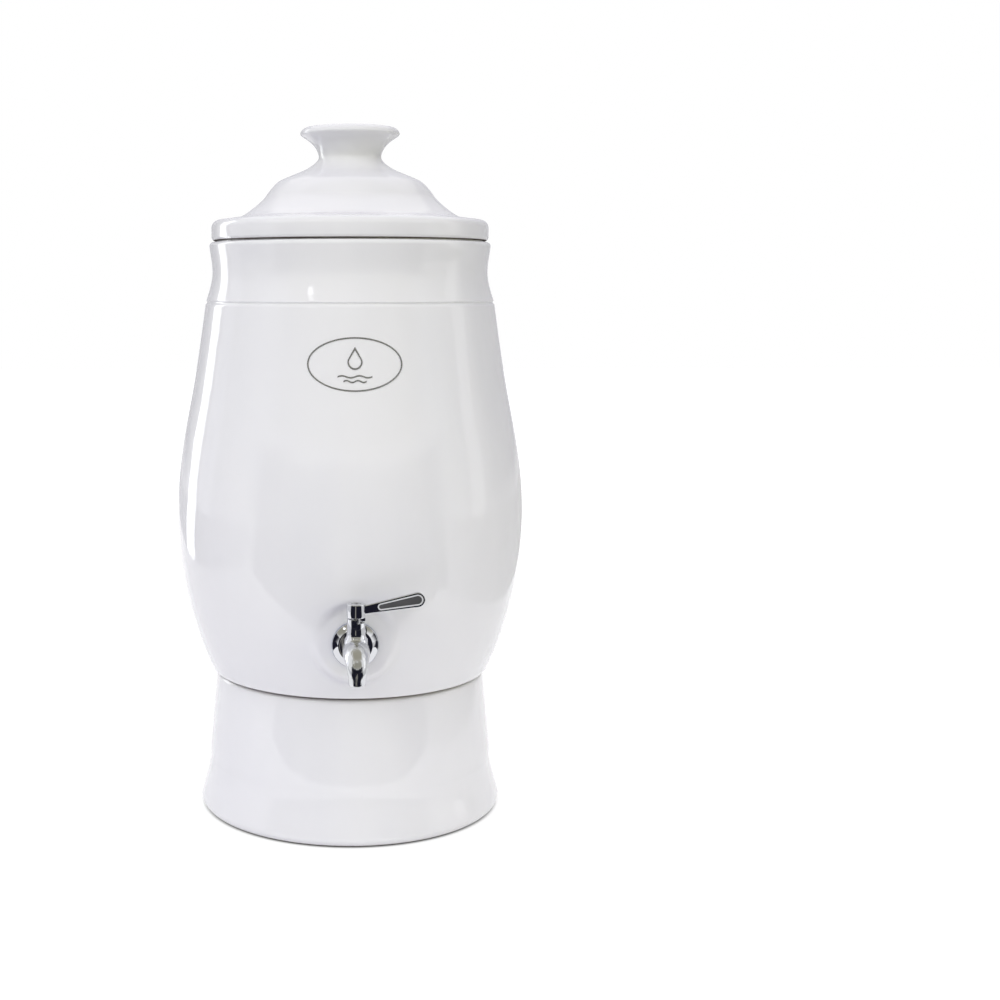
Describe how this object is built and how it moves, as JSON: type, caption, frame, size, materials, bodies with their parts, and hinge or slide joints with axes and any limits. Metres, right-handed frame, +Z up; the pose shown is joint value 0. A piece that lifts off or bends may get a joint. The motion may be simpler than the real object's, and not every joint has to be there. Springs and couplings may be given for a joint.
{
  "type": "gravity water filter",
  "caption": "Countertop gravity water filter: glazed ceramic crock on a flared stand, domed lid with knob, hanging upper chamber with filter dome and cartridge, and a chrome lever tap.",
  "frame": {"origin": "centre of the stand's foot ring, in the plane it stands on", "axes": "+Z up along the common axis of stand, crock and lid; the tap faces -Y; the lever points to +X when closed"},
  "size_m": [0.2652, 0.302, 0.5197],
  "materials": {
    "glaze": "glossy white glaze with a cool tint",
    "badge_chrome": "thin polished metal line",
    "tap_chrome": "mirror polish",
    "tap_steel": "turned and threaded metal",
    "seal_rubber": "smooth dark rubber",
    "washer_silicone": "translucent grey silicone",
    "chamber_plastic": "moulded white plastic",
    "filter_ceramic": "unglazed porous ceramic",
    "blue_plastic": "moulded blue plastic",
    "clear_plastic": "clear moulded plastic",
    "pad_felt": "pressed white fibre",
    "carbon": "black granules",
    "zeolite": "grey-green granules",
    "sand": "fine pale sand",
    "mineral": "matt fired balls",
    "valve_seat": "white low-friction plastic",
    "inlay_plastic": "fine satin dark grey"
  },
  "bodies": {
    "stand": {"stand": "glaze"},
    "crock": {"crock": "glaze", "crock_floor": "glaze", "badge": "badge_chrome", "tap_front_washer": "washer_silicone", "tap_flange": "tap_chrome", "tap_body": "tap_chrome", "tap_shank": "tap_steel", "tap_rear_washer": "washer_silicone", "tap_nut": "tap_steel", "rear_valve_seat": "valve_seat", "front_valve_seat": "valve_seat"},
    "chamber": {"upper_chamber": "chamber_plastic", "dome_seal": "seal_rubber", "dome_plate": "chamber_plastic", "ceramic_dome": "filter_ceramic", "stem_washer": "seal_rubber", "stem_nut": "chamber_plastic"},
    "cartridge_carrier": {"cartridge_seal": "seal_rubber"},
    "cartridge": {"cartridge_cap": "blue_plastic", "cartridge_sleeve": "clear_plastic", "cartridge_basket": "blue_plastic", "filter_pads": "pad_felt", "carbon_bed": "carbon", "zeolite_bed": "zeolite", "silica_sand_bed": "sand", "mineral_balls": "mineral"},
    "lid": {"lid": "glaze"},
    "lever": {"lever": "tap_chrome", "lever_inlay": "inlay_plastic", "lever_screw": "tap_chrome", "valve_stem": "tap_steel", "stem_o_rings": "seal_rubber", "ball_valve": "tap_chrome"}
  },
  "joints": [
    {"name": "crock_lift", "type": "slide", "parent": "stand", "child": "crock", "axis": [0, 0, 1], "range_m": [0, 0.1]},
    {"name": "chamber_lift", "type": "slide", "parent": "crock", "child": "chamber", "axis": [0, 0, 1], "range_m": [0, 0.32]},
    {"name": "lid_lift", "type": "slide", "parent": "chamber", "child": "lid", "axis": [0, 0, 1], "range_m": [0, 0.15]},
    {"name": "cartridge_drop", "type": "slide", "parent": "chamber", "child": "cartridge_carrier", "axis": [0, 0, -1], "range_m": [0, 0.012]},
    {"name": "cartridge_turn", "type": "hinge", "parent": "cartridge_carrier", "child": "cartridge", "pos_m": [0, 0, 0.2683], "axis": [0, 0, 1], "range_deg": [0, 1440]},
    {"name": "lever_turn", "type": "hinge", "parent": "crock", "child": "lever", "pos_m": [0, -0.14217, 0.152], "axis": [0, 0, 1], "range_deg": [-90, 0]}
  ],
  "couplings": [
    {"joint": "cartridge_drop", "follows": "cartridge_turn", "m_per_rad": 0.00047746}
  ]
}
